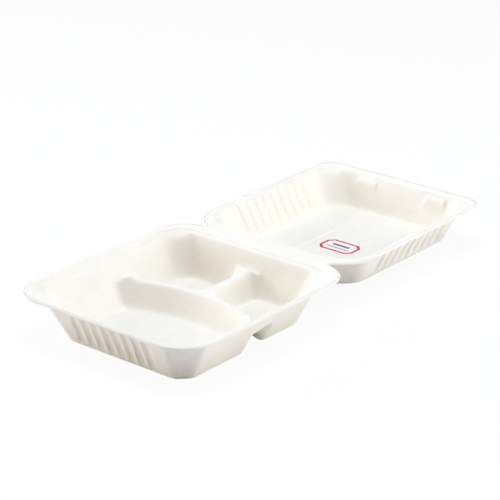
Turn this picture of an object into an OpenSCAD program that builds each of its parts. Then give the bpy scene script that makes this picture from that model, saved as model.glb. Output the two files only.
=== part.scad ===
// Hinged lunch box of moulded plant pulp, opened flat: a three-compartment tray and its lid.
// Millimetres, +Z up. The fold runs along X, the tray lies on its -Y side and the lid on its +Y side.
// The tray stands on z = 0, and the origin is the middle of the opened box.

/* [Overall] */
// Width of the tray over its rim, along the fold
tray_width = 230; // [180:1:260]
// Length of the tray from the fold to its front rim
tray_length = 246; // [190:1:270]
// Height of the rim over the table
rim_height = 47; // [36:0.5:60]
// Width of the lid over its rim
lid_width = 212; // [160:1:228]
// Length of the lid from the fold to its far rim
lid_length = 241; // [185:1:245]
// Depth of the lid under the rim
lid_depth = 40; // [28:0.5:44]
// Thickness of the pulp
pulp = 1.1; // [0.8:0.05:1.6]
// Gap on each side of the fold line between the two halves
fold_gap = 0.15; // [0.15:0.05:0.4]

/* [Rim] */
// Corner radius of the tray rim at the front
tray_corner = 40; // [30:1:55]
// Corner radius of the tray rim at the front left, which is a little sharper
tray_left_corner = 31; // [26:1:55]
// Corner radius of the tray rim next to the fold
tray_near_corner = 36; // [25:1:45]
// Corner radius of the lid rim next to the fold
lid_near_corner = 43; // [25:1:48]
// Corner radius of the lid rim on the far side
lid_far_corner = 21; // [18:1:45]
// Half the length of the strip that joins tray and lid
strip_half = 86; // [70:1:95]
// Width of the flat lip around the opening
lip_width = 5.5; // [4:0.25:8]
// Height of the turned-down outer edge of the lip
lip_drop = 2.3; // [1.8:0.1:3.5]
// Wall of the turned-down outer edge
lip_wall = 1.6; // [1.2:0.1:2.5]
// Width of the small step inside the lip
step_width = 3; // [1.5:0.25:4]
// Depth of the small step inside the lip
step_depth = 1.4; // [0.8:0.1:2]
// Width of the tray's strip between the fold and its step
tray_strip = 13; // [10:0.5:18]
// Width of the lid's strip between the fold and its step
lid_strip = 15; // [10:0.5:20]

/* [Tray walls] */
// Inset of the opening from the rim on the sides and the front, at the foot of the shoulder
shoulder_inset = 14; // [11:0.5:18]
// Drop from the rim to the foot of the shoulder
shoulder_drop = 7.5; // [5:0.5:10]
// Inset of the opening from the fold, at the foot of the shoulder
shoulder_fold_inset = 18; // [15:0.5:24]
// Chamfer of the tray corners at the foot of the shoulder
shoulder_chamfer = 23; // [16:1:40]
// Inset of the base from the rim on the sides
base_side_inset = 31; // [24:0.5:38]
// Inset of the base from the front rim
base_front_inset = 29; // [22:0.5:36]
// Inset of the base from the fold
base_fold_inset = 29; // [24:0.5:38]
// Chamfer of the tray corners at the base
base_chamfer = 15; // [10:1:30]
// Rounding of the chamfered corners at the shoulder
shoulder_round = 14; // [8:1:26]
// Rounding of the chamfered corners at the base
base_round = 9; // [6:1:20]

/* [Dividers] */
// Height of the divider crests over the table
crest_height = 26.5; // [18:0.5:32]
// Width of the divider crests
crest_width = 6.6; // [5:0.2:10]
// Distance from the fold to the front edge of the cross divider where it is furthest back
divider_back = 101; // [90:1:115]
// How far the cross divider sweeps forward at the two side walls
divider_sweep = 14; // [6:1:22]
// Length of the flare where a divider meets a wall
flare_length = 17; // [8:1:24]
// Extra width of the flare on each side of the divider
flare_width = 11; // [5:0.5:15]
// Slope inset of the divider's front face from crest to floor
divider_front_draft = 12; // [6:0.5:16]
// Slope inset of the divider faces of the two rear compartments
divider_rear_draft = 8; // [4:0.5:12]
// Radius of the upright corners between dividers and walls
pocket_round = 7; // [3:0.5:10]
// Radius of the low bumps on the crests near the walls
bump_radius = 6; // [4:0.5:8]
// Height of the bumps over the crest
bump_height = 2.4; // [1:0.2:4]
// Distance of the bumps from the walls, measured at crest height
bump_setback = 15; // [10:1:24]

/* [Lid walls] */
// Inset of the lid opening from its rim on the sides and the far side
lid_mouth_inset = 10; // [8.5:0.5:14]
// Drop from the rim to the edge of the lid opening
lid_mouth_drop = 4; // [2.5:0.5:7]
// Chamfer of the lid corners at the opening
lid_mouth_chamfer = 25; // [16:1:34]
// Inset of the lid floor from the rim on the sides
lid_side_inset = 29; // [20:0.5:34]
// Inset of the lid floor from the far rim
lid_far_inset = 20; // [16:0.5:30]
// Inset of the lid floor from the fold
lid_fold_inset = 37; // [26:0.5:42]
// Chamfer of the lid corners at the floor
lid_floor_chamfer = 17; // [12:1:26]
// Length of the sunk panel in the lid floor, along the fold
panel_width = 62; // [40:1:80]
// Length of the sunk panel across the fold direction
panel_length = 82; // [50:1:100]
// Depth of the sunk panel
panel_depth = 0.8; // [0.4:0.1:1.4]

/* [Ribs and catches] */
// Number of flutes in the front wall of the tray
tray_flutes = 8; // [4:1:10]
// Spacing of the flutes in the front wall of the tray
tray_flute_pitch = 13; // [11.5:0.25:15]
// Number of flutes in each side wall of the lid
lid_flutes = 9; // [4:1:10]
// Spacing of the flutes in the side walls of the lid
lid_flute_pitch = 13; // [11.5:0.25:15]
// How far the flutes of the tray sit off the middle of its front wall
flute_shift = 3; // [-4:0.5:4]
// Radius of the round that presses a flute
flute_radius = 9; // [7:0.5:12]
// Depth of the flutes
flute_depth = 1.6; // [0.8:0.1:2.2]
// Distance of the two catches from the middle of the far rim
catch_offset = 46; // [30:1:60]
// How far the pair of catches sits off the middle of the far rim
catch_shift = 3; // [-5:0.5:5]
// Length of each catch along the rim
catch_length = 28; // [16:1:32]
// How far each catch reaches down from the rim
catch_drop = 10; // [5:0.5:11]
// How far each catch reaches in from the lip
catch_reach = 8.5; // [6:0.5:10]

/* [Label] */
// Length of the paper sticker
label_length = 43; // [24:1:56]
// Width of the paper sticker
label_width = 27; // [12:1:34]
// Thickness of the paper sticker
label_thick = 0.25; // [0.15:0.05:0.5]

/* [Hidden] */
$fn = 48;
sliver = 0.01;
pulp_side = pulp * 1.05;
half_round = 2 - sqrt(2);
shoulder_z = rim_height - shoulder_drop;
step_z = rim_height - step_depth;
lid_floor_z = rim_height - lid_depth + pulp;
lid_mouth_z = rim_height - lid_mouth_drop;
fillet_tray = [[4.6, 0], [2.6, 0.6], [1.2, 1.7], [0.35, 3.2], [0, 5]];
fillet_lid = [[6, 0], [3.3, 0.8], [1.6, 2.1], [0.45, 4.1], [0, 6.3]];
// The part is carried this far past a face that it is cut from.
beyond = 0.3;
label_y = (lid_fold_inset + lid_length - lid_far_inset) / 2 - 7.6;
panel_y = (lid_fold_inset + lid_length - lid_far_inset) / 2 - 1;
label_x = 3;
// The fold lies this far off the middle, so the opened box is centred on the origin.
fold_y = (tray_length - lid_length) / 2;

// An outline with chamfered, rounded corners: half width, near y, far y, near and far chamfer, near and far
// rounding, and how much less the near left corner is rounded.
function ring(half, y0, y1, c0, c1, r0, r1, less = 0) = [half, y0, y1, c0, c1, r0, r1, less];

function blend(a, b, u) = [for (i = [0 : len(a) - 1]) a[i] + (b[i] - a[i]) * u];

function grow(o, d) = [
    o[0] + d,
    o[1] - d,
    o[2] + d,
    o[3] + d * half_round,
    o[4] + d * half_round,
    o[5] + d,
    o[6] + d,
    o[7]
];

// One corner of an outline as two discs, so their hull is a rounded chamfer.
module corner_discs(half, y, inward, chamfer, round, less) {
    c = max(0, chamfer - half_round * round);
    for (side = [-1, 1]) {
        r = side < 0 ? round - less : round;
        translate([side * (half - r - c), y + inward * r, 0])
            cylinder(r = r, h = sliver);
        translate([side * (half - r), y + inward * (r + c), 0])
            cylinder(r = r, h = sliver);
    }
}

module slice(o, z) {
    translate([0, 0, z]) {
        corner_discs(o[0], o[1], 1, o[3], o[5], o[7]);
        corner_discs(o[0], o[2], -1, o[4], o[6], 0);
    }
}

module loft(o1, z1, o2, z2) {
    hull() {
        slice(o1, z1);
        slice(o2, z2);
    }
}

// Outlines of the tray, looking down.
tray_less = tray_corner - tray_left_corner;
tray_rim = ring(tray_width / 2, -tray_length, 0, half_round * tray_corner,
    half_round * tray_near_corner, tray_corner, tray_near_corner, tray_less);
tray_lip = ring(tray_width / 2 - lip_width, lip_width - tray_length, -tray_strip,
    half_round * (tray_corner - lip_width), half_round * (tray_near_corner - lip_width),
    tray_corner - lip_width, tray_near_corner - lip_width, tray_less);
tray_step_inset = lip_width + step_width;
tray_step = ring(tray_width / 2 - tray_step_inset, tray_step_inset - tray_length,
    -tray_strip - step_width / 2, half_round * (tray_corner - tray_step_inset),
    half_round * (tray_near_corner - tray_step_inset), tray_corner - tray_step_inset,
    tray_near_corner - tray_step_inset, tray_less);
tray_mouth = ring(tray_width / 2 - shoulder_inset, shoulder_inset - tray_length,
    -shoulder_fold_inset, shoulder_chamfer, shoulder_chamfer, shoulder_round, shoulder_round);
tray_base = ring(tray_width / 2 - base_side_inset - pulp_side,
    base_front_inset + pulp_side - tray_length, -base_fold_inset - pulp_side, base_chamfer,
    base_chamfer, base_round, base_round);

function tray_wall(z) = blend(tray_base, tray_mouth, (z - pulp) / (shoulder_z - pulp));

// Outlines of the lid.
lid_rim = ring(lid_width / 2, 0, lid_length, half_round * lid_near_corner,
    half_round * lid_far_corner, lid_near_corner, lid_far_corner);
lid_lip = ring(lid_width / 2 - lip_width, lid_strip, lid_length - lip_width,
    half_round * (lid_near_corner - lip_width), half_round * (lid_far_corner - lip_width),
    lid_near_corner - lip_width, lid_far_corner - lip_width);
lid_step_inset = lip_width + step_width * 0.7;
lid_step = ring(lid_width / 2 - lid_step_inset, lid_strip + step_width * 0.5,
    lid_length - lid_step_inset, half_round * (lid_near_corner - lid_step_inset),
    half_round * (lid_far_corner - lid_step_inset), lid_near_corner - lid_step_inset,
    lid_far_corner - lid_step_inset);
lid_mouth = ring(lid_width / 2 - lid_mouth_inset, lid_strip + step_width,
    lid_length - lid_mouth_inset, lid_mouth_chamfer, lid_mouth_chamfer, 18, 18);
lid_floor = ring(lid_width / 2 - lid_side_inset - pulp_side, lid_fold_inset + pulp_side,
    lid_length - lid_far_inset - pulp_side, lid_floor_chamfer, lid_floor_chamfer, 14, 14);

function lid_wall(z) = blend(lid_floor, lid_mouth,
    (z - lid_floor_z) / (lid_mouth_z - lid_floor_z));

// A convex compartment is a list of corners, anticlockwise, and the inset of each side at the floor.
function unit(v) = v / norm(v);
function inward_of(a, b) = unit([a[1] - b[1], b[0] - a[0]]);
function moved(p, n1, n2, d1, d2) = let (k = n1 * n2)
    p + ((d1 - k * d2) * n1 + (d2 - k * d1) * n2) / (1 - k * k);
function inset_each(pts, d) = let (n = len(pts)) [
    for (i = [0 : n - 1])
        let (p = pts[i], before = pts[(i + n - 1) % n], after = pts[(i + 1) % n])
            moved(p, inward_of(before, p), inward_of(p, after), d[(i + n - 1) % n], d[i])
];

module pocket_slice(pts, drafts, u, extra, r, z) {
    d = [for (v = drafts) v * u + extra + r];
    translate([0, 0, z])
        for (p = inset_each(pts, d))
            translate([p[0], p[1], 0])
                cylinder(r = r, h = sliver, $fn = 40);
}

// The hollow of one compartment. With skin above 0 it is the same shape grown by that wall.
module pocket(pts, drafts, skin) {
    drop = crest_height - pulp;
    r = pocket_round + skin;
    lower = skin > 0 ? pulp : 0;
    hull() {
        pocket_slice(pts, drafts, 0, -skin, r, crest_height - lower + sliver);
        for (f = fillet_tray)
            pocket_slice(pts, drafts, 1 - f[0] / drop, f[1] - skin, r, pulp + f[0] - lower);
    }
}

// Corners of the three compartments at crest height.
crest_wall = tray_wall(crest_height);
wall_x = crest_wall[0];
wall_front = crest_wall[1];
wall_fold = crest_wall[2];
wall_c = crest_wall[3];
side_draft = wall_x - tray_base[0];
front_draft = tray_base[1] - wall_front;
fold_draft = wall_fold - tray_base[2];
corner_front_draft = (side_draft + front_draft - wall_c + base_chamfer) / sqrt(2);
corner_fold_draft = (side_draft + fold_draft - wall_c + base_chamfer) / sqrt(2);
sweep_x = wall_x - flare_length * 2;
front_edge = -divider_back;
side_edge = -divider_back - divider_sweep;

front_pocket = [
    [wall_c - wall_x, wall_front],
    [wall_x - wall_c, wall_front],
    [wall_x, wall_front + wall_c],
    [wall_x, side_edge - flare_width],
    [wall_x - flare_length, side_edge],
    [wall_x * 0.34, front_edge - divider_sweep * 0.16],
    [-wall_x * 0.34, front_edge - divider_sweep * 0.16],
    [flare_length - wall_x, side_edge],
    [-wall_x, side_edge - flare_width],
    [-wall_x, wall_front + wall_c]
];
front_drafts = [
    front_draft, corner_front_draft, side_draft, divider_front_draft, divider_front_draft,
    divider_front_draft, divider_front_draft, divider_front_draft, side_draft, corner_front_draft
];

rear_inner = front_edge + crest_width + 2;
rear_outer = side_edge + crest_width + 1;

// The two rear compartments mirror one another.
rear_pocket = [
    [crest_width / 2, rear_inner + 2],
    [wall_x - flare_length, rear_outer],
    [wall_x, rear_outer + flare_width],
    [wall_x, wall_fold - wall_c],
    [wall_x - wall_c, wall_fold],
    [crest_width / 2 + flare_width, wall_fold],
    [crest_width / 2, wall_fold - flare_length]
];
rear_drafts = [
    divider_rear_draft, divider_rear_draft, side_draft, corner_fold_draft, fold_draft,
    divider_rear_draft, divider_rear_draft
];

module rear_pair(skin) {
    pocket(rear_pocket, rear_drafts, skin);
    mirror([1, 0, 0])
        pocket(rear_pocket, rear_drafts, skin);
}

// Flutes are pressed along a sloping wall by a round bar with round ends.
module tray_flute_bars(r) {
    slope = [base_front_inset - shoulder_inset, -shoulder_z];
    way = slope / norm(slope);
    out = [way[1], -way[0]] * (flute_radius - flute_depth);
    top = [shoulder_inset - pulp - tray_length, shoulder_z] + way * 5 + out;
    foot = [base_front_inset - tray_length, 0] - way * 4 + out;
    for (i = [0 : tray_flutes - 1])
        translate([flute_shift + (i - (tray_flutes - 1) / 2) * tray_flute_pitch, 0, 0])
            hull() {
                translate([0, top[0], top[1]])
                    sphere(r = r, $fn = 32);
                translate([0, foot[0], foot[1]])
                    sphere(r = r, $fn = 32);
            }
}

module lid_flute_bars(r) {
    lid_base_z = rim_height - lid_depth;
    slope = [lid_mouth_inset - lid_side_inset, lid_base_z - lid_mouth_z];
    way = slope / norm(slope);
    out = [-way[1], way[0]] * (flute_radius - flute_depth);
    top = [lid_width / 2 - lid_mouth_inset + pulp, lid_mouth_z] + way * 6 + out;
    foot = [lid_width / 2 - lid_side_inset, lid_base_z] - way * 7 + out;
    for (side = [-1, 1], i = [0 : lid_flutes - 1])
        translate([0, panel_y + (i - (lid_flutes - 1) / 2) * lid_flute_pitch, 0])
            hull() {
                translate([side * top[0], 0, top[1]])
                    sphere(r = r, $fn = 32);
                translate([side * foot[0], 0, foot[1]])
                    sphere(r = r, $fn = 32);
            }
}

// The flat rim with its turned-down edge and the half of the joining strip.
module flange(rim, lip, side) {
    difference() {
        union() {
            loft(rim, rim_height - pulp, rim, rim_height - sliver);
            loft(rim, rim_height - lip_drop, rim, rim_height - pulp);
            translate([-strip_half, side > 0 ? 0 : -tray_strip + 1, rim_height - pulp])
                cube([2 * strip_half, tray_strip - 1, pulp]);
        }
        difference() {
            loft(grow(rim, -lip_wall), rim_height - lip_drop - 1, grow(rim, -lip_wall),
                rim_height - pulp - sliver);
            translate([-tray_width, -beyond, rim_height - pulp])
                cube([2 * tray_width, 2 * beyond, pulp]);
        }
        translate([-strip_half, side > 0 ? -1 : -tray_strip / 2, rim_height - lip_drop - 1])
            cube([2 * strip_half, tray_strip / 2 + 1, lip_drop + 1 - pulp - sliver]);
        translate([-tray_width, side > 0 ? fold_gap - 10 : -fold_gap, 0])
            cube([2 * tray_width, 10, 2 * rim_height]);
    }
}

module tray_cavity() {
    loft(tray_step, step_z, tray_lip, rim_height + sliver);
    loft(tray_lip, rim_height, tray_lip, rim_height + 2);
    difference() {
        union() {
            loft(tray_mouth, shoulder_z, tray_step, step_z);
            loft(crest_wall, crest_height, tray_mouth, shoulder_z);
            pocket(front_pocket, front_drafts, 0);
            rear_pair(0);
        }
        tray_flute_bars(flute_radius + pulp);
    }
}

module tray_mass() {
    flange(tray_rim, tray_lip, -1);
    loft(grow(tray_step, pulp), step_z - pulp, grow(tray_lip, pulp), rim_height - sliver);
    difference() {
        union() {
            loft(grow(tray_mouth, pulp_side), shoulder_z - pulp, grow(tray_step, pulp_side),
                step_z - pulp);
            loft(grow(crest_wall, pulp_side), crest_height - pulp, grow(tray_mouth, pulp_side),
                shoulder_z - pulp);
            pocket(front_pocket, front_drafts, pulp_side);
            rear_pair(pulp_side);
        }
        tray_flute_bars(flute_radius);
    }
}

// A low dome on a crest, where nested trays bear on one another.
module bump(x, y) {
    intersection() {
        translate([x, y, crest_height + bump_height - bump_radius])
            sphere(r = bump_radius, $fn = 32);
        translate([x - bump_radius, y - bump_radius, crest_height - pulp / 2])
            cube([2 * bump_radius, 2 * bump_radius, bump_radius]);
    }
}

module tray() {
    color("white") translate([0, fold_y, 0]) {
        difference() {
            tray_mass();
            tray_cavity();
        }
        side_bump_y = side_edge + crest_width / 2 + 1.5;
        bump(wall_x - bump_setback, side_bump_y);
        bump(bump_setback - wall_x, side_bump_y);
        bump(0, wall_fold - bump_setback + 3);
    }
}

// Section of a catch: a wedge that leans in from the rim over the far wall.
module catch_wedge(shift, drop, length) {
    y = lid_length - lip_width + shift;
    for (side = [-1, 1])
        translate([catch_shift + side * catch_offset - length / 2, 0, 0])
            rotate([90, 0, 90])
                linear_extrude(height = length)
                    polygon([
                        [y + 3, rim_height - step_depth + 1 - drop],
                        [y - 1, rim_height - step_depth + 1 - drop],
                        [y - catch_reach, rim_height - catch_drop - drop],
                        [y - catch_reach + 1.2, rim_height - catch_drop - 2 - drop],
                        [y + 3, rim_height - catch_drop - 2 - drop]
                    ]);
}

module panel(z, h, margin) {
    r = 9;
    translate([0, panel_y, z])
        hull()
            for (x = [-1, 1], y = [-1, 1])
                translate([x * (panel_width / 2 - r - margin), y * (panel_length / 2 - r - margin), 0])
                    cylinder(r = r, h = h);
}

module lid_solid(skin) {
    lower = skin > 0 ? pulp : 0;
    loft(grow(lid_mouth, skin), lid_mouth_z - lower, grow(lid_step, skin), step_z - lower);
    hull() {
        slice(grow(lid_mouth, skin), lid_mouth_z - lower);
        for (f = fillet_lid)
            slice(grow(lid_wall(lid_floor_z + f[0]), skin - f[1]), lid_floor_z + f[0] - lower);
    }
}

module lid_cavity() {
    difference() {
        union() {
            loft(lid_step, step_z, lid_lip, rim_height + sliver);
            loft(lid_lip, rim_height, lid_lip, rim_height + 2);
            lid_solid(0);
        }
        lid_flute_bars(flute_radius + pulp);
        catch_wedge(0, 0, catch_length);
    }
    panel(lid_floor_z - panel_depth, panel_depth + 1, 0);
}

module lid_mass() {
    flange(lid_rim, lid_lip, 1);
    loft(grow(lid_step, pulp), step_z - pulp, grow(lid_lip, pulp), rim_height - sliver);
    difference() {
        lid_solid(pulp_side);
        lid_flute_bars(flute_radius);
        catch_wedge(pulp, pulp + 0.5, catch_length - 2 * pulp);
    }
    panel(lid_floor_z - pulp - panel_depth, panel_depth + sliver, -pulp);
}

module lid() {
    color("white")
        translate([0, fold_y, 0])
            difference() {
                lid_mass();
                lid_cavity();
            }
}

module label() {
    r = 4;
    color("white")
        translate([label_x, label_y + fold_y, lid_floor_z - panel_depth + sliver])
            linear_extrude(height = label_thick)
                hull()
                    for (x = [-1, 1], y = [-1, 1])
                        translate([x * (label_length / 2 - r), y * (label_width / 2 - r)])
                            circle(r = r);
}

tray();
lid();
label();
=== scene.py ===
"""Moulded-pulp lunch box, opened flat: one pressed sheet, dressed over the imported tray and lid."""
import math
import bpy
import numpy as np
from mathutils import Matrix, Vector


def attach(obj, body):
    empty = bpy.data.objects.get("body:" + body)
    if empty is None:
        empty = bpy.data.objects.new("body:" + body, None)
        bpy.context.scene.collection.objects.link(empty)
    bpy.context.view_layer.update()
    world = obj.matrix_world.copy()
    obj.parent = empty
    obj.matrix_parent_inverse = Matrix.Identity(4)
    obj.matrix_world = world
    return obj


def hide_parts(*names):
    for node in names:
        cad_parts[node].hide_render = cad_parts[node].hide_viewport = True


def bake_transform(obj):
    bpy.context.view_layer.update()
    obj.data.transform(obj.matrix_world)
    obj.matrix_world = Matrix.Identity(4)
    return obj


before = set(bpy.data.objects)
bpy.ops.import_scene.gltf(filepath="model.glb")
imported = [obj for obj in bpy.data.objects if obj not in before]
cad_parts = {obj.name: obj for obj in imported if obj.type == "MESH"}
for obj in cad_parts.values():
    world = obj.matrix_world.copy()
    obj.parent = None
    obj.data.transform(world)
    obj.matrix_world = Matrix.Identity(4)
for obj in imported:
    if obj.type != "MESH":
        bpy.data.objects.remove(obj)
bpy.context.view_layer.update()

# Millimetres. y runs from the fold (0): the tray lies at y < 0 and the lid at y > 0.
FOLD_Y = 2.5  # where the fold lies in the shared frame
RIM = 47.0  # height of the rim's top over the table
PULP = 1.1  # thickness of the sheet
ROLL = 1.5  # how far the rolled edge reaches out past the flat rim
BAND = 4.8  # half width of the strip along the fold, made as a piece of its own

TRAY_HALF = 115
TRAY_LENGTH = 246
TRAY_FLOOR = 1.1
TRAY_TOP = 39.5
TRAY_RISE = TRAY_TOP - TRAY_FLOOR
CREST = 26.4

LID_HALF = 106
LID_LENGTH = 241
LID_FLOOR = 8.1
LID_TOP = 43.0
LID_RISE = LID_TOP - LID_FLOOR

PANEL_DEPTH = 1.2
PANEL_HALF = (31, 41)
PANEL_Y = 128
PANEL_CORNER = 9

FLUTE_PITCH = 13
TRAY_FLUTES = 8
TRAY_FIRST_FLUTE = -42.5
LID_FLUTES = 9
LID_FIRST_FLUTE = 77

CATCH_X = 3
CATCH_APART = 46
CATCH_HALF = 15.5
CATCH_START = 5.6  # inwards from the far edge
CATCH_FOOT = 13.4


# Field helpers

def smax(a, b, k):
    """The larger of a and b, rounded over a width of k."""
    h = np.clip(k - np.abs(a - b), 0, None) / k
    return np.maximum(a, b) + h * h * k * 0.25


def smin(a, b, k):
    return -smax(-a, -b, k)


def ease(a, b, t):
    """0 at a, 1 at b, smooth between."""
    u = np.clip((t - a) / (b - a), 0, 1)
    return u * u * (3 - 2 * u)


def hump(t):
    """A smooth bump, 1 at 0 and gone at 1 and -1."""
    return np.where(np.abs(t) < 1, (1 - np.clip(t * t, 0, 1)) ** 2, 0)


def inside(x, y, half, y0, y1, left, right, far):
    """Distance inwards from a rounded rectangle: radii at its two y0 corners and at the y1 corners."""
    r = np.where(y < (y0 + y1) / 2, np.where(x < 0, left, right), far)
    qx = np.abs(x) - half + r
    qy = np.abs(y - (y0 + y1) / 2) - (y1 - y0) / 2 + r
    return r - np.minimum(np.maximum(qx, qy), 0) - np.hypot(np.maximum(qx, 0), np.maximum(qy, 0))


def outline(x, y):
    """Distance inwards from the edge of the whole sheet: tray and lid overlap a little at the fold."""
    overlap = 0.6
    tray = inside(x, y, TRAY_HALF, -TRAY_LENGTH, overlap, 31, 40, 36)
    lid = inside(x, y, LID_HALF, -overlap, LID_LENGTH, 43, 43, 21)
    return smax(tray, lid, 10)


def wall(floor, rise, foot, run, at):
    """Height of a leaning wall that leaves the floor at foot and climbs by rise over run."""
    return floor + (foot - at) * rise / run


def rib(t, first, pitch, count, half, depth):
    """Depth of a row of broad ribs at t, with narrow grooves between them."""
    i = np.clip(np.round((t - first) / pitch), 0, count - 1)
    u = np.clip(np.abs(t - first - i * pitch) / half, 0, 1)
    return depth * (1 - u ** 4)


# The tray. "under" asks for the outer side, whose edges are crisper than the inner side's.

def divider(x, y):
    """Height of the dividers' own surface. It is far above the crest where a divider is solid."""
    ax = np.abs(x)
    bow = 0.0031 * ax * ax
    y_front = -100.6 - bow
    y_back = -93.8 - bow * 0.92
    slope_front = (CREST - TRAY_FLOOR) / 12.0
    slope_rear = (CREST - TRAY_FLOOR) / 8.0
    turn = np.sqrt(1 + (0.0062 * ax) ** 2)
    # the crests rise in a low bump near each wall and drop behind it
    at_side = y < -80
    top = CREST + (3.0 * hump((ax - 77) / 10) - 6.2 * ease(82, 93, ax)) * at_side
    at_fold = (ax < 40) & (y > -60)
    top = top + (3.0 * hump((y + 31) / 9) - 2.4 * ease(-28, -21, y)) * at_fold
    # the curved divider, flared where its back meets the side walls
    front = CREST - slope_front * (y_front - y) / turn
    back = CREST - slope_rear * (y - y_back) / turn
    flare = CREST - slope_rear * (y - (-110.0 + 0.9 * (ax - 86))) / 1.35
    back = smax(back, flare, 8)
    # the short divider, wider and a little off the middle towards the fold
    wide = np.abs(x + 2.4 * ease(-50, -27, y))
    side = CREST - slope_rear * (wide - 3.7 - 4.6 * ease(-52, -27, y))
    flare = CREST - slope_rear * ((wide - 9.4) - (y + 28.5)) * 0.707
    side = smax(side, flare, 4)
    rear = smax(back, side, 52)
    return smin(smin(front, rear, 4.0), top, 3.0)


def tray_walls(x, y, k):
    """The outer walls, their corners rounded by k and more. Feet and runs count inwards from the edge."""
    at_side = TRAY_HALF - np.abs(x)
    at_front = y + TRAY_LENGTH
    at_fold = -y
    left = x < 0
    press = rib(x, TRAY_FIRST_FLUTE, FLUTE_PITCH, TRAY_FLUTES, 5.5, 1.8) * (at_front < 60)
    # the side walls lean more beside the rear compartments, the left one also in front
    more = np.where(left, 3 + 7 * ease(-90, -140, y), 3 * ease(-125, -95, y))
    side = wall(TRAY_FLOOR, TRAY_RISE, 31 + more, 17 + more, at_side)
    front = wall(TRAY_FLOOR, TRAY_RISE, 29, 15, at_front)
    fade = ease(39.0, 35.0, front) * ease(0.5, 5.5, front - TRAY_FLOOR)
    front = wall(TRAY_FLOOR, TRAY_RISE, 29 + press * fade * 1.05, 15, at_front)
    fold = wall(TRAY_FLOOR, TRAY_RISE, 29, 11, at_fold)
    corner_front = wall(TRAY_FLOOR, TRAY_RISE, np.where(left, 82.5, 71.5), np.where(left, 30.5, 17),
                        at_side + at_front)
    corner_fold = wall(TRAY_FLOOR, TRAY_RISE, np.where(left, 74, 83), np.where(left, 21, 25), at_side + at_fold)
    z = smax(side, fold, 4)
    z = smax(z, front, 4)
    z = smax(z, corner_front, k + 2.5)
    return smax(z, corner_fold, k + 7)


def tray_height(x, y, under=False):
    walls = tray_walls(x, y, 5 if under else 6.5)
    cross = divider(x, y)
    # the rear compartments are rounder where the divider's back meets the side wall
    behind = ease(-6, 6, y + 93.8 + 0.00285 * x * x) * ease(26, 10, np.maximum(walls, cross))
    z = smax(walls, cross, (6 if under else 8) + 15 * behind * ease(60, 78, np.abs(x)))
    z = smax(z, TRAY_FLOOR, 2.5 if under else 7)
    # the step inside the flat rim, deeper along the sides and front than at the fold
    edge = inside(x, y, 109.7, -240.7, -13, 26, 35, 32)
    away = ease(6, 34, -y - 13)
    width = 1.3 + 1.9 * away
    drop = 2.0 + 2.6 * away
    past = np.clip(edge - width, 0, 15)
    ledge = RIM - drop - 0.2 * np.clip(past, 0, 3) - 0.62 * np.clip(past - 3, 0, 12)
    z = smin(z, ledge, 3.5)
    ramp = ease(-0.2, 1, edge / width)
    return RIM + (z - RIM) * ramp


# The lid

def lid_walls(x, y):
    """The lid's walls. Feet and runs count inwards from the edge."""
    at_side = LID_HALF - np.abs(x)
    at_far = LID_LENGTH - y
    at_fold = y
    press = rib(y, LID_FIRST_FLUTE, FLUTE_PITCH, LID_FLUTES, 6.0, 2.3)
    side = wall(LID_FLOOR, LID_RISE, 29, 19, at_side)
    fade = ease(46, 43.5, side) * ease(0.5, 5.5, side - LID_FLOOR)
    side = wall(LID_FLOOR, LID_RISE, 29 + press * fade * 1.05, 19, at_side)
    far = wall(LID_FLOOR, LID_RISE, 20, 10, at_far)
    near = wall(LID_FLOOR, LID_RISE, 37, 19, at_fold)
    corner_far = wall(LID_FLOOR, LID_RISE, 65, 21, at_side + at_far)
    corner_fold = wall(LID_FLOOR, LID_RISE, 84, 29, at_side + at_fold)
    z = smax(side, far, 5)
    z = smax(z, near, 4)
    z = smax(z, corner_far, 10)
    return smax(z, corner_fold, 9)


def panel(x, y, grow):
    """Distance inwards from the edge of the sunk panel, whose corners are round."""
    px = PANEL_HALF[0] + grow - np.abs(x)
    py = PANEL_HALF[1] + grow - np.abs(y - PANEL_Y)
    r = PANEL_CORNER
    return r - np.hypot(np.clip(r - px, 0, None), np.clip(r - py, 0, None)) + np.clip(np.minimum(px, py) - r, 0, None)


def lid_height(x, y, under=False):
    z = lid_walls(x, y)
    # two catches lean in from the far rim, narrower at the foot
    at_far = LID_LENGTH - y
    from_middle = np.abs(np.abs(x - CATCH_X) - CATCH_APART)
    down = at_far - CATCH_START
    catch = RIM - 0.6 - down
    catch = smin(catch, catch + (CATCH_HALF - 0.35 * down - from_middle) * 5.0, 0.6)
    catch = smin(catch, 38 - (at_far - CATCH_FOOT) * 9.0, 0.8)
    z = smax(z, catch, 0.8)
    z = smax(z, LID_FLOOR, 2.5 if under else 8)
    z = z - PANEL_DEPTH * ease(-0.1, 0.9, panel(x, y, PULP if under else 0))
    # the step inside the flat rim, with a crease beside the fold
    edge = inside(x, y, 100.7, 15, 235.7, 37.5, 37.5, 15.5)
    ledge = RIM - 1.3 - 0.3 * np.clip(edge - 2.0, 0, 12)
    z = smin(z, ledge, 2.2)
    on_catch = (from_middle < CATCH_HALF) * (at_far > CATCH_START)
    z = np.where(at_far < 20, np.maximum(z, catch * on_catch), z)
    ramp = ease(-0.2, 1.8, edge)
    crease = 0.8 * hump((y - 15.6) / 1.1) * ease(88, 80, np.abs(x))
    return RIM + (z - RIM) * ramp - crease


def height(x, y):
    """The sheet's upper face."""
    return np.where(y < 0, tray_height(x, y), lid_height(x, y))


def height_under(x, y):
    """The face that the lower side is offset from."""
    return np.where(y < 0, tray_height(x, y, True), lid_height(x, y, True))


def gradient(fn, x, y, e=0.05):
    """Slopes of fn along x and y."""
    return (fn(x + e, y) - fn(x - e, y)) / (2 * e), (fn(x, y + e) - fn(x, y - e)) / (2 * e)


# One grid over the sheet, finer across its steps, its edge snapped to the outline

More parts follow.
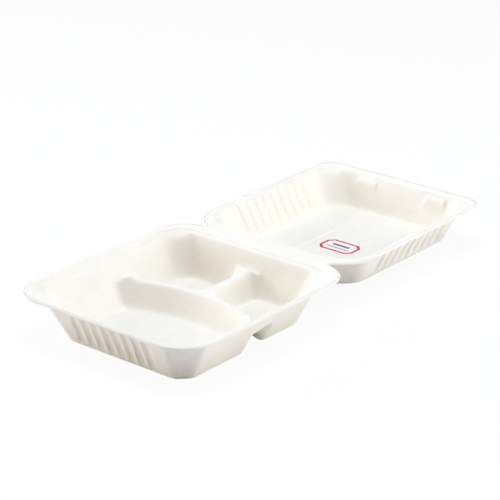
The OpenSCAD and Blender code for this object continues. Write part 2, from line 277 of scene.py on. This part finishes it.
def lines(start, *stretches):
    """Grid lines from start: pairs of where a stretch ends and how far apart its lines are."""
    at = [np.array([start])]
    for end, gap in zip(stretches[::2], stretches[1::2]):
        n = max(1, round((end - start) / gap))
        at.append(start + (end - start) * np.arange(1, n + 1) / n)
        start = end
    return np.concatenate(at)


def grid_x():
    half = lines(0, 26, 1.45, 30, 1.3, 32.2, 0.44, 84, 1.4, 99, 0.95, 113.5, 0.64, 116.5, 0.75)
    return np.concatenate([-half[:0:-1], half])


def grid_y():
    tray = lines(0, BAND, 1.2, 12, 1.2, 15.5, 0.5, 45, 1.05, 84, 1.7, 136, 1.05, 213, 2.1, 230, 0.95, 245.5, 0.62,
                 247.5, 0.75)
    # over one flute of the lid, closest at the grooves beside it
    over_flute = np.array([0, 0.45, 1.0, 2, 3.6, 4.9, 6.5, 8.1, 9.4, 11, 12, 12.55])
    first = LID_FIRST_FLUTE - FLUTE_PITCH / 2
    last = first + FLUTE_PITCH * LID_FLUTES
    flutes = (first + FLUTE_PITCH * np.arange(LID_FLUTES)[:, None] + over_flute).ravel()
    # over the panel's near and far steps
    steps = np.array([87.0, 87.4, 87.8, 88.2, 167.8, 168.2, 168.6, 169.0])
    flutes = flutes[np.abs(flutes[:, None] - steps).min(1) > 0.6]
    lid = np.concatenate([lines(0, BAND, 1.2, 14, 1.15, 17.5, 0.44, 38, 1.14, 70, 1.28),
                          np.sort(np.concatenate([flutes, steps])), lines(last, 218, 1.25, 240, 0.7, 242.5, 0.8)])
    return np.concatenate([-tray[:0:-1], lid])


def sheet():
    """x and y of the sheet's points, its quads, and the points along its border in order."""
    gx, gy = np.meshgrid(grid_x(), grid_y())
    mid_x, mid_y = (gx[1:, 1:] + gx[:-1, :-1]) / 2, (gy[1:, 1:] + gy[:-1, :-1]) / 2
    keep = outline(mid_x, mid_y) - ROLL > 0
    index = np.arange(gx.size).reshape(gx.shape)
    quads = np.stack([index[:-1, :-1], index[:-1, 1:], index[1:, 1:], index[1:, :-1]], -1)[keep]
    # edges used by one kept cell only are the border
    edges = np.concatenate([quads[:, [i, (i + 1) % 4]] for i in range(4)])
    key = np.sort(edges, 1)
    _, first, count = np.unique(key[:, 0] * gx.size + key[:, 1], return_index=True, return_counts=True)
    border = edges[first[count == 1]]
    follow = dict(border.tolist())
    loop = [int(border[0, 0])]
    while follow[loop[-1]] != loop[0]:
        loop.append(follow[loop[-1]])
    if len(loop) != len(border):
        raise ValueError("the sheet's border isn't one loop")
    # the border moves onto the line where the roll starts
    x, y = gx.ravel().copy(), gy.ravel().copy()
    for _ in range(4):
        lx, ly = x[loop], y[loop]
        dx, dy = gradient(outline, lx, ly)
        n = np.maximum(dx * dx + dy * dy, 0.2)
        miss = outline(lx, ly) - ROLL
        x[loop], y[loop] = lx - miss * dx / n, ly - miss * dy / n
    used = np.unique(quads)
    place = np.full(gx.size, -1)
    place[used] = np.arange(len(used))
    return x[used], y[used], place[quads], place[loop]


# The rolled edge: how far in from the outline, and height over the rim's top
EDGE = [
    (1.0, -0.03), (0.6, -0.18), (0.28, -0.5), (0.08, -0.95), (0.0, -1.5), (0.1, -1.95),
    (0.35, -2.22), (0.7, -2.3), (1.0, -2.2), (1.2, -1.95), (1.3, -1.6), (1.38, -1.25),
]


def build_sheet():
    """Upper and lower side, joined around the border by the rolled edge."""
    x, y, quads, loop = sheet()
    top = np.stack([x, y, height(x, y)], 1)
    zx, zy = gradient(height_under, x, y, 0.12)
    n = np.stack([-zx, -zy, np.ones_like(zx)], 1)
    n /= np.linalg.norm(n, axis=1)[:, None]
    low = np.stack([x, y, height_under(x, y)], 1) - n * PULP
    low[:, 2] = np.maximum(low[:, 2], 0)
    low[loop] = top[loop] - [0, 0, PULP]
    count = len(x)
    lx, ly = x[loop], y[loop]
    dx, dy = gradient(outline, lx, ly)
    length = np.hypot(dx, dy)
    dx, dy = dx / length, dy / length
    rows = [loop]
    points = [top, low]
    start = 2 * count
    for inset, drop in EDGE:
        out = ROLL - inset
        points.append(np.stack([lx - dx * out, ly - dy * out, np.full(len(loop), RIM + drop)], 1))
        rows.append(np.arange(start, start + len(loop)))
        start += len(loop)
    rows.append(loop + count)
    faces = [quads, quads[:, ::-1] + count]
    for a, b in zip(rows, rows[1:]):
        faces.append(np.stack([a, b, np.roll(b, -1), np.roll(a, -1)], 1)[:, ::-1])
    points = np.concatenate(points)
    faces = np.concatenate(faces)
    return points, faces


def make_piece(name, points, faces, material):
    used = np.unique(faces)
    place = np.full(len(points), -1)
    place[used] = np.arange(len(used))
    co = (points[used] + [0, FOLD_Y, 0]) / 1000
    mesh = bpy.data.meshes.new(name)
    mesh.from_pydata(co.tolist(), [], place[faces].tolist())
    mesh.update()
    mesh.polygons.foreach_set("use_smooth", [True] * len(mesh.polygons))
    mesh.materials.append(material)
    obj = bpy.data.objects.new(name, mesh)
    bpy.context.scene.collection.objects.link(obj)
    return obj


# Materials

def new_material(name):
    m = bpy.data.materials.new(name)
    m.use_nodes = True
    m.node_tree.nodes.clear()
    return m, m.node_tree.nodes, m.node_tree.links


def add(nodes, kind, **values):
    """A node with properties or inputs set by name."""
    n = nodes.new(kind)
    for k, v in values.items():
        if hasattr(n, k):
            setattr(n, k, v)
        else:
            n.inputs[k.replace("_", " ")].default_value = v
    return n


def pulp_material():
    m, nodes, links = new_material("moulded_pulp")
    out = nodes.new("ShaderNodeOutputMaterial")
    bsdf = nodes.new("ShaderNodeBsdfPrincipled")
    bsdf.inputs["Roughness"].default_value = 0.72
    bsdf.inputs["Specular IOR Level"].default_value = 0.3
    where = nodes.new("ShaderNodeTexCoord")
    # cloudy colour: the fibre lies denser in places
    cloud = add(nodes, "ShaderNodeTexNoise", Scale=38.0, Detail=5.0, Roughness=0.6)
    links.new(where.outputs["Object"], cloud.inputs["Vector"])
    tone = nodes.new("ShaderNodeValToRGB")
    tone.color_ramp.elements[0].position = 0.3
    tone.color_ramp.elements[0].color = (0.888, 0.838, 0.708, 1)
    tone.color_ramp.elements[1].position = 0.72
    tone.color_ramp.elements[1].color = (0.924, 0.882, 0.765, 1)
    links.new(cloud.outputs["Fac"], tone.inputs["Fac"])
    # a few tiny specks
    specks = add(nodes, "ShaderNodeTexVoronoi", Scale=62.0)
    links.new(where.outputs["Object"], specks.inputs["Vector"])
    dot = add(nodes, "ShaderNodeMath", operation="LESS_THAN")
    dot.inputs[1].default_value = 0.028
    links.new(specks.outputs["Distance"], dot.inputs[0])
    speck_mix = nodes.new("ShaderNodeMix")
    speck_mix.data_type = "RGBA"
    speck_mix.inputs["B"].default_value = (0.58, 0.48, 0.36, 1)
    links.new(dot.outputs[0], speck_mix.inputs["Factor"])
    links.new(tone.outputs["Color"], speck_mix.inputs["A"])
    links.new(speck_mix.outputs["Result"], bsdf.inputs["Base Color"])
    # fine fibres over a coarser unevenness
    fibre = add(nodes, "ShaderNodeTexNoise", Scale=900.0, Detail=3.0, Roughness=0.7)
    links.new(where.outputs["Object"], fibre.inputs["Vector"])
    fine = add(nodes, "ShaderNodeBump", Strength=0.25, Distance=0.00012)
    links.new(fibre.outputs["Fac"], fine.inputs["Height"])
    uneven = add(nodes, "ShaderNodeTexNoise", Scale=160.0, Detail=4.0, Roughness=0.6)
    links.new(where.outputs["Object"], uneven.inputs["Vector"])
    coarse = add(nodes, "ShaderNodeBump", Strength=0.3, Distance=0.00025)
    links.new(uneven.outputs["Fac"], coarse.inputs["Height"])
    links.new(fine.outputs["Normal"], coarse.inputs["Normal"])
    links.new(coarse.outputs["Normal"], bsdf.inputs["Normal"])
    links.new(bsdf.outputs["BSDF"], out.inputs["Surface"])
    return m


def plain_material(name, colour):
    m, nodes, links = new_material(name)
    out = nodes.new("ShaderNodeOutputMaterial")
    bsdf = nodes.new("ShaderNodeBsdfPrincipled")
    bsdf.inputs["Base Color"].default_value = (*colour, 1)
    bsdf.inputs["Roughness"].default_value = 0.6
    bsdf.inputs["Specular IOR Level"].default_value = 0.3
    links.new(bsdf.outputs["BSDF"], out.inputs["Surface"])
    return m


pulp = pulp_material()
points, faces = build_sheet()
middle = points[faces].mean(1)[:, 1]
tray = make_piece("tray_shell", points, faces[middle < -BAND], pulp)
lid = make_piece("lid_shell", points, faces[middle > BAND], pulp)
band = make_piece("fold_strip", points, faces[np.abs(middle) <= BAND], pulp)
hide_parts("tray")
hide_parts("lid")
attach(tray, "tray")
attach(lid, "lid")
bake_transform(band)


# The sticker: white paper with a red border, cut corners and two plain grey bars

def cut_rect(w, h, c):
    """Corners of a rectangle whose corners are cut by c."""
    w, h = w / 2, h / 2
    return [(w, -h + c), (w, h - c), (w - c, h), (-w + c, h), (-w, h - c), (-w, -h + c), (-w + c, -h), (w - c, -h)]


def sticker():
    paper = plain_material("sticker_paper", (0.9, 0.87, 0.79))
    red = plain_material("sticker_red", (0.62, 0.008, 0.014))
    grey = plain_material("sticker_grey", (0.2, 0.18, 0.16))
    paper_index, red_index, grey_index = 0, 1, 2
    cx, cy = 3, 121.4
    z_low = LID_FLOOR - PANEL_DEPTH + 0.02
    z_top = z_low + 0.22
    z_bar = z_low + 0.24
    verts, quads, kinds = [], [], []

    def ring_of(w, h, c, z):
        start = len(verts)
        verts.extend([(cx + px, cy + py, z) for px, py in cut_rect(w, h, c)])
        return list(range(start, start + 8))

    def face(corners, kind):
        quads.append(tuple(corners))
        kinds.append(kind)

    low = ring_of(43, 27, 6, z_low)
    top = ring_of(43, 27, 6, z_top)
    inner = ring_of(37.4, 21.4, 4.6, z_top)
    for i in range(8):
        j = (i + 1) % 8
        face((low[i], low[j], top[j], top[i]), paper_index)
        face((top[i], top[j], inner[j], inner[i]), red_index)
    face(inner, paper_index)
    face(reversed(low), paper_index)
    for w, h, up in ((22, 4.2, 2.4), (29, 1.6, -4.4)):
        start = len(verts)
        for px, py in ((-w / 2, -h / 2), (w / 2, -h / 2), (w / 2, h / 2), (-w / 2, h / 2)):
            verts.append((cx + px, cy + up + py, z_bar))
        face(range(start, start + 4), grey_index)
    mesh = bpy.data.meshes.new("sticker")
    mesh.from_pydata([(a / 1000, (b + FOLD_Y) / 1000, c / 1000) for a, b, c in verts], [], quads)
    for m in (paper, red, grey):
        mesh.materials.append(m)
    mesh.polygons.foreach_set("material_index", kinds)
    mesh.update()
    obj = bpy.data.objects.new("sticker", mesh)
    bpy.context.scene.collection.objects.link(obj)
    return obj


label = sticker()
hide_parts("label")
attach(label, "lid")


# Floor, light and camera

def seen(nodes, links):
    """1 for the rays that show the backdrop: straight, in a gloss or through a clear thing."""
    path = nodes.new("ShaderNodeLightPath")
    both = add(nodes, "ShaderNodeMath", operation="MAXIMUM")
    links.new(path.outputs["Is Camera Ray"], both.inputs[0])
    links.new(path.outputs["Is Glossy Ray"], both.inputs[1])
    every = add(nodes, "ShaderNodeMath", operation="MAXIMUM")
    links.new(both.outputs[0], every.inputs[0])
    links.new(path.outputs["Is Transmission Ray"], every.inputs[1])
    return every.outputs[0]


def towards(azimuth, elevation):
    """Direction from the object: azimuth from -Y towards +X."""
    return Vector((math.sin(azimuth) * math.cos(elevation), -math.cos(azimuth) * math.cos(elevation),
                   math.sin(elevation)))


def white_floor():
    mesh = bpy.data.meshes.new("floor")
    mesh.from_pydata([(-6, -6, 0), (6, -6, 0), (6, 6, 0), (-6, 6, 0)], [], [(0, 1, 2, 3)])
    floor = bpy.data.objects.new("floor", mesh)
    floor.location.z = -0.0004
    bpy.context.scene.collection.objects.link(floor)
    m, nodes, links = new_material("floor_white")
    out = nodes.new("ShaderNodeOutputMaterial")
    diffuse = add(nodes, "ShaderNodeBsdfDiffuse", Color=(0.86, 0.86, 0.86, 1))
    glow = add(nodes, "ShaderNodeEmission", Color=(1, 1, 1, 1), Strength=1.0)
    mix = nodes.new("ShaderNodeMixShader")
    # most of it reads as white, and the rest keeps the object's shadow
    share = add(nodes, "ShaderNodeMath", operation="MULTIPLY")
    share.inputs[1].default_value = 0.93
    links.new(seen(nodes, links), share.inputs[0])
    links.new(share.outputs[0], mix.inputs[0])
    links.new(diffuse.outputs[0], mix.inputs[1])
    links.new(glow.outputs[0], mix.inputs[2])
    links.new(mix.outputs[0], out.inputs["Surface"])
    floor.data.materials.append(m)


def white_world():
    """White behind the object, and no light from it: the lamps alone light the box."""
    world = bpy.data.worlds.new("studio")
    bpy.context.scene.world = world
    world.use_nodes = True
    nodes, links = world.node_tree.nodes, world.node_tree.links
    nodes.clear()
    out = nodes.new("ShaderNodeOutputWorld")
    unlit = add(nodes, "ShaderNodeBackground", Color=(1, 1, 1, 1), Strength=0.0)
    white = add(nodes, "ShaderNodeBackground", Color=(1, 1, 1, 1), Strength=1.0)
    mix = nodes.new("ShaderNodeMixShader")
    links.new(seen(nodes, links), mix.inputs[0])
    links.new(unlit.outputs[0], mix.inputs[1])
    links.new(white.outputs[0], mix.inputs[2])
    links.new(mix.outputs[0], out.inputs["Surface"])


def lamp(name, azimuth, elevation, power, colour):
    away = towards(math.radians(azimuth), math.radians(elevation))
    light = bpy.data.lights.new(name, "AREA")
    light.shape = "DISK"
    light.size = 1.1
    light.energy = power
    light.color = colour
    o = bpy.data.objects.new(name, light)
    o.location = Vector((0, 0, 0.02)) + away * 1.7
    o.rotation_mode = "QUATERNION"
    o.rotation_quaternion = (-away).to_track_quat("-Z", "Y")
    bpy.context.scene.collection.objects.link(o)


white_floor()
white_world()
lamp("light_back", 220, 35, 0.9, (0.99, 1.0, 1.01))
lamp("light_left", -70, 15, 19.4, (0.93, 1.0, 1.19))
lamp("light_left_front", -30, 15, 6.0, (1.18, 1.0, 0.86))
lamp("light_right_front", 110, 15, 15.9, (1.04, 1.0, 1.05))
lamp("light_right", 130, 35, 3.4, (0.84, 1.0, 1.12))
lamp("light_top", 40, 88, 22.0, (0.92, 1.0, 1.20))


def camera():
    """The photo's view: a long lens, set by its focal length in pixels over the frame's 500."""
    roll = math.radians(-0.396)
    back = towards(math.radians(40.226), math.radians(22.428))
    target = Vector((-0.044584, 0.030263 + FOLD_Y / 1000, 0.020))
    right = (-back).cross(Vector((0, 0, 1))).normalized()
    up = right.cross(-back)
    r = right * math.cos(roll) + up * math.sin(roll)
    u = up * math.cos(roll) - right * math.sin(roll)
    data = bpy.data.cameras.new("camera")
    data.sensor_width = 36
    data.lens = 2038.43 / 500 * 36
    data.clip_start = 0.05
    data.clip_end = 50
    cam = bpy.data.objects.new("camera", data)
    m = Matrix((r, u, back)).transposed().to_4x4()
    m.translation = target + back * 2.120746
    cam.matrix_world = m
    bpy.context.scene.collection.objects.link(cam)
    bpy.context.scene.camera = cam


camera()
scene = bpy.context.scene
scene.view_settings.view_transform = "Standard"
